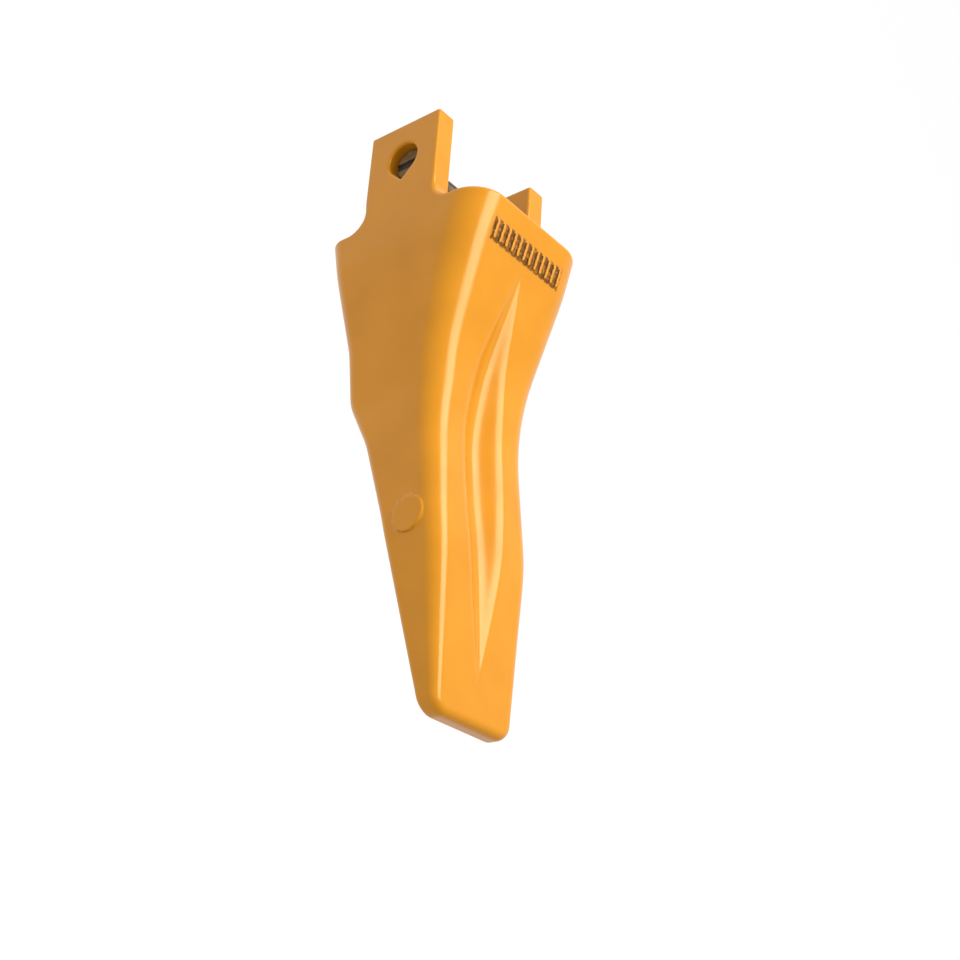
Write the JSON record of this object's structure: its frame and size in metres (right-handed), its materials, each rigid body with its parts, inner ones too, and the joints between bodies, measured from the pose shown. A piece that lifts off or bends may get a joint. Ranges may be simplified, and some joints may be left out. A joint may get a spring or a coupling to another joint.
{
  "type": "excavator bucket tooth",
  "caption": "Hollow cast rock-chisel bucket tooth with a fluted face, two ears with teardrop pin holes, and its rubber-cored flex pin.",
  "frame": {"origin": "centre of the socket mouth: in the rim's plane, midway between the ears, level with the pin", "axes": "+Y along the tooth, from the tip to the ears and out of the socket; +X along the pin; +Z out of the fluted digging face"},
  "size_m": [0.1, 0.357, 0.1165],
  "materials": {
    "yellow_paint": "gloss",
    "pin_steel": "oiled, lightly rusted",
    "pin_rubber": "matt"
  },
  "bodies": {
    "casting": {"tooth_casting": "yellow_paint"},
    "flex_pin": {"pin_round_half": "pin_steel", "pin_rubber_core": "pin_rubber"},
    "pin_vee": {"pin_vee_half": "pin_steel"}
  },
  "joints": [
    {"name": "pin_drive", "type": "slide", "parent": "casting", "child": "flex_pin", "axis": [-1, 0, 0], "range_m": [0, 0.1]},
    {"name": "rubber_squeeze", "type": "slide", "parent": "flex_pin", "child": "pin_vee", "axis": [0, 1, 0], "range_m": [0, 0.002], "stiffness_N_per_m": 3000, "springref_m": -0.001, "deforming": ["pin_rubber_core"]}
  ]
}
